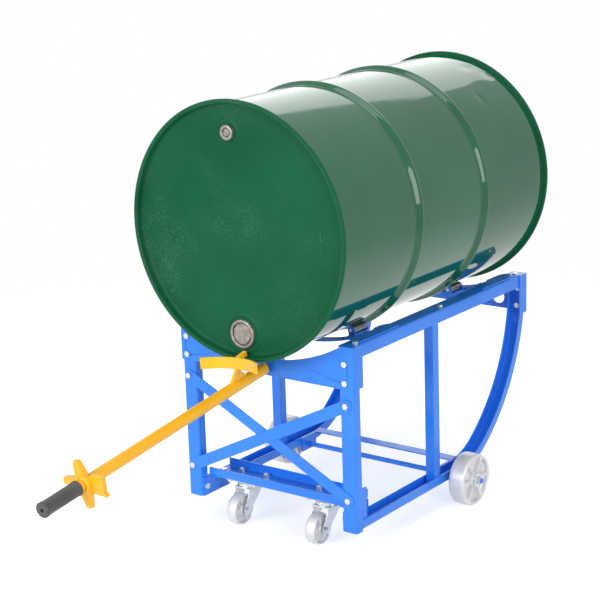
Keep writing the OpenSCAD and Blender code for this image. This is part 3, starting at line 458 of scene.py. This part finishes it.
def drum_shell():
    low, high = SHELL_END, DRUM_LEN - SHELL_END
    places = [low, 22]
    y = 30.0
    while y < high - 12:
        places.append(y)
        near = min(abs(y - c) for c in HOOPS) < HOOP_HALF + 5
        y += 2.0 if near else 7.0
    places += [high - 8, high]
    outer = [(SHELL_R + hoop_swell(y), y) for y in places]
    inner = [(SHELL_R - 1.2 + hoop_swell(y), y) for y in reversed(places)]

    def worn(radius, y, turn):
        # Local X is right and local Y is down, so the top lies at -90 degrees
        from_top = math.atan2(math.cos(turn), -math.sin(turn))
        flat = 1.0 if hoop_swell(y) == 0 else 0.3
        # The rolled seam holds the shell round at its rear end
        flat *= max(0.0, min(1.0, (DRUM_LEN - 20 - y) / 14))
        wave = 0.12 * noise.noise(Vector((math.cos(turn) * 3, math.sin(turn) * 3, y / 170)))
        return -dent(y, from_top) * flat + min(wave, 0.0)

    bm = bmesh.new()
    lathe(bm, at(0, 0, DRUM_AXIS, ALONG_Y), outer + inner, 320, worn)
    return make("steel_shell", bm, "drum", GREEN, ("drum_shell",), angle=60)


def arc(centre_r, centre_y, radius, start, end, steps):
    """Points of an arc in a (radius, height) outline, in degrees."""
    points = []
    for i in range(steps + 1):
        a = math.radians(start + (end - start) * i / steps)
        points.append((centre_r + radius * math.cos(a), centre_y + radius * math.sin(a)))
    return points


def head_outline():
    """Head with a turned-up wall and the seam rolled over its edge; height grows into the drum."""
    wall = 283.6
    curl = 5.5
    points = [(0, RECESS), (120, RECESS - 0.2), (236, RECESS), (244, RECESS - 1.0), (252, RECESS)]
    points += [(270, RECESS + 0.1)]
    points += arc(wall - 6, RECESS - 6, 6, 80, 8, 5)
    points += [(wall + 0.2, 9.0)]
    points += arc(HOOP_R - curl, curl, curl, 172, 360, 12)
    points += [(HOOP_R - 0.1, 8.2), (HOOP_R - 1.0, 9.8), (HOOP_R - 4, 10.8), (SHELL_R + 1.6, 11.4)]
    points += [(SHELL_R + 0.4, 16.5), (SHELL_R + 0.2, 19.0), (wall, RECESS + 1.3), (0, RECESS + 1.3)]
    return points


def pressed_ring(bm, place, inner, outer, rise):
    """Low ring pressed up round a bung, lying on the head."""
    middle = (inner + outer) / 2
    lathe(bm, place, [
        (inner, 0.3), (inner + 1.5, -rise * 0.6), (middle - 1.5, -rise), (middle + 1.5, -rise),
        (outer - 2, -rise * 0.5), (outer, 0.3), (middle, 0.8),
    ], 72)


def drum_heads():
    bm = bmesh.new()
    lathe(bm, at(0, 0, DRUM_AXIS, ALONG_Y), head_outline(), 320)
    pressed_ring(bm, at(LARGE_BUNG[0], RECESS, LARGE_BUNG[1], ALONG_Y), 38, 50, 1.8)
    pressed_ring(bm, at(SMALL_BUNG[0], RECESS, SMALL_BUNG[1], ALONG_Y), 21, 33, 1.8)
    make("bung_head", bm, "drum", HEAD_GREEN, ("front_head",), angle=50)
    bm = bmesh.new()
    turned = Matrix.Rotation(math.radians(90), 4, "X")
    lathe(bm, at(0, DRUM_LEN, DRUM_AXIS, turned), head_outline(), 320)
    make("plain_head", bm, "drum", HEAD_GREEN, ("rear_head",), angle=50)


def bung(name, node, x, z, thread, rim, lean):
    """Plug with a rolled rim, a groove, and a face with a ridge and a slot at each end of it."""
    well = thread - 3.0
    bm = bmesh.new()
    place = at(x, 12, z, ALONG_Y @ Matrix.Rotation(math.radians(lean), 4, "Z"))
    depth = 6.0
    lathe(bm, place, [
        (0, depth), (well - 1, depth), (well, depth - 1.2), (well + 0.2, 1.6), (well + 1.4, 0.3),
        (rim - 2.2, 0.0), (rim - 0.8, 0.5), (rim, 1.6), (rim, 3.4), (thread, 3.5), (thread, 15),
        (0, 15),
    ], 72)
    face = []
    for i in range(48):
        turn = 2 * math.pi * i / 48
        reach = (well - 1.8) * math.cos(turn)
        face.append((max(-0.78 * well, min(0.78 * well, reach)), (well - 1.8) * math.sin(turn)))
    slab(bm, place, face, 2.6, depth + 0.5)
    half, reach = well * 0.42, well * 0.86
    slab(bm, place, [(-reach, -half), (reach, -half * 0.8), (reach, half * 0.8), (-reach, half)], 1.5, 3.2)
    make(name, bm, node, BUNG, (node,), bevel=0.5)


drum_shell()
drum_heads()
bung("large_plug", "large_bung", *LARGE_BUNG, 29, 33.2, 45)
bung("small_plug", "small_bung", *SMALL_BUNG, 13, 17.5, -50)


# Rocker rails


def rocker_line():
    """Side view (Y, Z) of the rail's outer face, with the inward direction at each point."""
    reach, height = ROCKER_R - LEAD_R, ROCKER_CENTRE[1] - RUNNER_H - LEAD_R
    lead = (ROCKER_CENTRE[0] + math.sqrt(reach ** 2 - height ** 2), RUNNER_H + LEAD_R)
    turn = math.degrees(math.atan2(ROCKER_CENTRE[1] - lead[1], lead[0] - ROCKER_CENTRE[0]))
    line = [(y, RUNNER_H, 0.0, 1.0) for y in RUNNER_PLACES]

    def bend(centre, radius, start, end, steps, first):
        for i in range(first, steps + 1):
            a = math.radians(start + (end - start) * i / steps)
            c, s = math.cos(a), math.sin(a)
            line.append((centre[0] + radius * c, centre[1] + radius * s, -c, -s))

    bend(lead, LEAD_R, -90, -turn, 22, 0)
    bend(ROCKER_CENTRE, ROCKER_R, -turn, 0, 30, 1)
    line.append((ROCKER_CENTRE[0] + ROCKER_R, RAIL_TOP, -1.0, 0.0))
    return line


def channel_outline(width, depth, thick, radius):
    """Half-open channel: (across, inward) points, web at inward 0."""
    def corner(cx, cy, r, start, end):
        return [
            (cx + r * math.cos(math.radians(a)), cy + r * math.sin(math.radians(a)))
            for a in [start + (end - start) * i / 4 for i in range(5)]
        ]
    w = width / 2
    points = [(-w, depth - 0.6), (-w, radius)]
    points += corner(-w + radius, radius, radius, 180, 270)[1:]
    points += corner(w - radius, radius, radius, 270, 360)
    points += [(w, depth - 0.6), (w - 0.6, depth), (w - thick + 0.6, depth), (w - thick, depth - 0.6)]
    points += corner(w - radius, radius, radius - thick, 360, 270)
    points += corner(-w + radius, radius, radius - thick, 270, 180)
    points += [(-w + thick, depth - 0.6), (-w + thick - 0.6, depth), (-w + 0.6, depth)]
    return points


def rocker_rail(side):
    name = "right" if side > 0 else "left"
    section = channel_outline(RAIL_WIDTH, RAIL_DEPTH, RAIL_SHEET, RAIL_BEND)
    bm = bmesh.new()
    place = at(0, 0, 0)
    rings = []
    for y, z, ny, nz in rocker_line():
        rings.append([
            place @ Vector((side * (RAIL_MIDDLE + across), y + ny * inward, z + nz * inward))
            for across, inward in section
        ])
    loft(bm, rings)
    # Welded tab at the rail's upper end
    inner, outer = side * TAB_X[0], side * TAB_X[1]
    slab(bm, place, [
        (inner, TAB_Y[0]), (outer, TAB_Y[0]), (outer, TAB_Y[1]), (inner, TAB_Y[1]),
    ], RAIL_TOP - TAB_SHEET, RAIL_TOP)
    make(name + "_rocker_channel", bm, "frame", BLUE, (name + "_rocker_rail",), angle=40)


rocker_rail(1)
rocker_rail(-1)


# Wheels


def cast_wheel(name, place, body, node, radius, width, rim, hub, bore, ribs, crown, material):
    """Cast wheel: crowned tread, dished faces, ribs and a raised hub."""
    half = width / 2
    web = half * 0.42
    side = [
        (bore, 0.0), (bore, half), (hub - 2, half), (hub, half - 2), (hub + 1.5, web + 2), (hub + 5, web),
        (radius - rim - 4, web), (radius - rim - 1, web + 2.5), (radius - rim, half - 2),
        (radius - rim + 2, half - 0.4), (radius - 4, half - 0.4), (radius - 1.2 - crown, half - 1.8),
        (radius - crown, half - 4),
    ]
    tread = [(radius - crown * 0.3, half * 0.5), (radius, 0.0), (radius - crown * 0.3, -half * 0.5)]
    outline = side + tread + [(r, -h) for r, h in reversed(side[1:])]
    bm = bmesh.new()
    lathe(bm, place, outline, 96)
    # Ribs stand on both faces of the web and widen towards the rim
    for i in range(ribs):
        turn = Matrix.Rotation(2 * math.pi * i / ribs + 0.5, 4, "Z")
        for sign in (1, -1):
            rings = []
            for r, w in ((hub - 1, 3.2), ((hub + radius - rim) / 2, 3.6), (radius - rim + 1, 5.5)):
                rings.append([
                    place @ turn @ Vector((r, x, sign * z))
                    for x, z in (
                        (-w - 2.5, web - 0.5), (-w, half - 3.2), (w, half - 3.2), (w + 2.5, web - 0.5),
                    )
                ])
            loft(bm, rings)
    make(name, bm, body, material, (node,), angle=35)


for side_name, sign in (("left", -1), ("right", 1)):
    cast_wheel(
        side_name + "_cast_wheel", at(sign * 278.5, 522, 63.5, ALONG_X),
        side_name + "_rear_wheel", side_name + "_rear_wheel",
        radius=63.5, width=43, rim=9, hub=20, bore=9.5, ribs=6, crown=0.6, material=CAST,
    )
    cast_wheel(
        side_name + "_caster_roll", at(sign * 115, 120, 38, ALONG_X),
        side_name + "_caster_wheel", side_name + "_caster_wheel",
        radius=38, width=28, rim=6, hub=13, bore=4.1, ribs=5, crown=1.6, material=CAST,
    )


# Lever. Its own frame has the tube along local Y with the tip's middle at the origin

LEVER = (
    Matrix.Translation((0.010, FRONT + 0.076, 0.420)) @ Matrix.Rotation(math.radians(7.8), 4, "X")
    @ Matrix.Scale(MM, 4)
)


def grip():
    """Vinyl grip with end collars and a small vent hole."""
    place = LEVER @ Matrix.Translation((0, -LEVER_LEN, 0)) @ ALONG_Y
    bm = bmesh.new()
    lathe(bm, place, [
        (4.0, 0.8), (4.6, 0.1), (14.2, 0.0), (16.1, 0.7), (17.0, 2.2), (17.0, 8.0), (16.2, 9.2),
        (15.9, 10.5), (15.9, 98.0), (16.3, 99.4), (17.0, 100.4), (17.0, 103.4), (16.0, 104.4),
        (TUBE_R, 104.4), (TUBE_R, 8.2), (4.0, 8.2),
    ], 64)
    make("vinyl_grip", bm, "lever", RUBBER, ("lever_grip",), angle=35)


def bung_wrench():
    """Cast star: hub, three tapered lugs and a wide slab with a small hook."""
    star = -LEVER_LEN + STAR_SET
    y0, y1 = star - STAR_HALF, star + STAR_HALF
    place = LEVER @ Matrix.Translation((0, y0, 0)) @ ALONG_Y
    bm = bmesh.new()
    lathe(bm, place, [
        (TUBE_R, 0), (16.8, 0), (18.8, 1.4), (19.5, 3.5),
        (19.5, 22), (18.6, 25), (16.8, 26), (TUBE_R, 26),
    ], 48)
    for degrees in LUG_ANGLES:
        turn = LEVER @ Matrix.Rotation(math.radians(-degrees), 4, "Y")
        rings = []
        for reach, half, front, back in (
            (14.5, 13.0, 1.5, 22), (26, 11.5, 1.5, 20), (40, 9.5, 2.2, 17.5),
            (50, 8.0, 3.0, 15.5), (53, 6.6, 4.2, 14.0),
        ):
            rings.append([
                turn @ Vector((reach, y, z))
                for y, z in (
                    (y0 + front, -half * 0.8), (y0 + front + 2, -half), (y0 + back - 2, -half),
                    (y0 + back, -half * 0.8), (y0 + back, half * 0.8), (y0 + back - 2, half),
                    (y0 + front + 2, half), (y0 + front, half * 0.8),
                )
            ])
        loft(bm, rings)
    # The wide slab, thicker towards the hub
    rings = []
    for x, half_low, half_high, thick in (
        (14.5, 19, 19, 15), (24, 21, 20, 13), (38, 23, 21.5, 11.5), (48, 24, 22, 11),
    ):
        rings.append([
            LEVER @ Vector((x, y, z))
            for y, z in (
                (y1 - thick, -half_low + 1.5), (y1 - thick + 1.5, -half_low), (y1 - 1.0, -half_low),
                (y1, -half_low + 1.5), (y1, half_high - 1.5), (y1 - 1.0, half_high),
                (y1 - thick + 1.5, half_high), (y1 - thick, half_high - 1.5),
            )
        ])
    loft(bm, rings)
    hook = [
        (44, -24), (52.5, -24), (54, -22.8), (54, -19.2),
        (52.5, -18), (50.5, -17.4), (48.4, -14), (44, -14),
    ]
    loft(bm, [[LEVER @ Vector((x, y, z)) for x, z in hook] for y in (y1 - 10.6, y1 - 0.4)])
    make("star_wrench", bm, "lever", YELLOW, ("bung_wrench",), bevel=0.9, segments=3)


grip()
bung_wrench()


# Stage: floor, lamps and world


def stage():
    size = 30
    mesh = bpy.data.meshes.new("floor")
    corners = [(-size, -size, 0), (size, -size, 0), (size, size, 0), (-size, size, 0)]
    mesh.from_pydata(corners, [], [(0, 1, 2, 3)])
    floor = bpy.data.objects.new("floor", mesh)
    bpy.context.scene.collection.objects.link(floor)
    floor.location.z = -0.0005
    m = Nodes("studio_floor")
    tree = m.tree
    rays = tree.nodes.new("ShaderNodeLightPath")
    seen = m.math("MAXIMUM", rays.outputs["Is Camera Ray"], rays.outputs["Is Glossy Ray"])
    seen = m.math("MAXIMUM", seen, rays.outputs["Is Transmission Ray"])
    grain = m.ramp(m.noise(3, 2), 0.3, 0.7, 0.9, 0.92)
    combined = tree.nodes.new("ShaderNodeCombineColor")
    for channel in ("Red", "Green", "Blue"):
        m.put(combined.inputs[channel], grain)
    diffuse = tree.nodes.new("ShaderNodeBsdfDiffuse")
    m.put(diffuse.inputs["Color"], combined.outputs["Color"])
    glow = tree.nodes.new("ShaderNodeEmission")
    m.put(glow.inputs["Strength"], m.math("MULTIPLY", seen, 0.5))
    lit = tree.nodes.new("ShaderNodeAddShader")
    m.link(diffuse.outputs[0], lit.inputs[0])
    m.link(glow.outputs[0], lit.inputs[1])
    # Far from the object the floor is as plain white as the world behind it
    plain = tree.nodes.new("ShaderNodeEmission")
    m.put(plain.inputs["Strength"], m.ramp(seen, 0, 1, 0.5, 1.0))
    reach = tree.nodes.new("ShaderNodeVectorMath")
    reach.operation = "LENGTH"
    m.link(m.coords, reach.inputs[0])
    far = tree.nodes.new("ShaderNodeMixShader")
    m.put(far.inputs["Fac"], m.ramp(reach.outputs["Value"], 1.4, 2.6))
    m.link(lit.outputs[0], far.inputs[1])
    m.link(plain.outputs[0], far.inputs[2])
    m.link(far.outputs[0], m.out.inputs["Surface"])
    mesh.materials.append(m.material)


def lamp(name, place, aim, size, power):
    data = bpy.data.lights.new(name, "AREA")
    data.shape = "RECTANGLE"
    data.size, data.size_y = size
    data.energy = power
    obj = bpy.data.objects.new(name, data)
    direction = Vector(aim) - Vector(place)
    obj.matrix_world = Matrix.Translation(place) @ direction.to_track_quat("-Z", "Y").to_matrix().to_4x4()
    obj.visible_camera = False
    bpy.context.scene.collection.objects.link(obj)


def world():
    w = bpy.data.worlds.new("studio")
    bpy.context.scene.world = w
    w.use_nodes = True
    tree = w.node_tree
    tree.nodes.clear()
    out = tree.nodes.new("ShaderNodeOutputWorld")
    rays = tree.nodes.new("ShaderNodeLightPath")
    first = tree.nodes.new("ShaderNodeMath")
    first.operation = "MAXIMUM"
    tree.links.new(rays.outputs["Is Camera Ray"], first.inputs[0])
    tree.links.new(rays.outputs["Is Glossy Ray"], first.inputs[1])
    second = tree.nodes.new("ShaderNodeMath")
    second.operation = "MAXIMUM"
    tree.links.new(first.outputs[0], second.inputs[0])
    tree.links.new(rays.outputs["Is Transmission Ray"], second.inputs[1])
    strength = tree.nodes.new("ShaderNodeMapRange")
    strength.inputs["To Min"].default_value = 0.4
    strength.inputs["To Max"].default_value = 1.0
    tree.links.new(second.outputs[0], strength.inputs["Value"])
    background = tree.nodes.new("ShaderNodeBackground")
    background.inputs["Color"].default_value = (1, 1, 1, 1)
    tree.links.new(strength.outputs["Result"], background.inputs["Strength"])
    tree.links.new(background.outputs[0], out.inputs["Surface"])


add_camera()
stage()
world()
lamp("front", (-0.9, -4.2, 1.7), (0, 0.1, 0.5), (3.0, 2.0), 120)
lamp("side", (4.0, -1.6, 1.7), (0, 0.1, 0.5), (2.4, 2.0), 75)
lamp("back", (-1.6, 3.6, 2.35), (0, 0.3, 0.9), (3.0, 2.1), 30)
lamp("top", (0.3, 0.0, 3.8), (0, 0.2, 0.5), (2.0, 2.0), 30)
bpy.context.scene.view_settings.view_transform = "Standard"
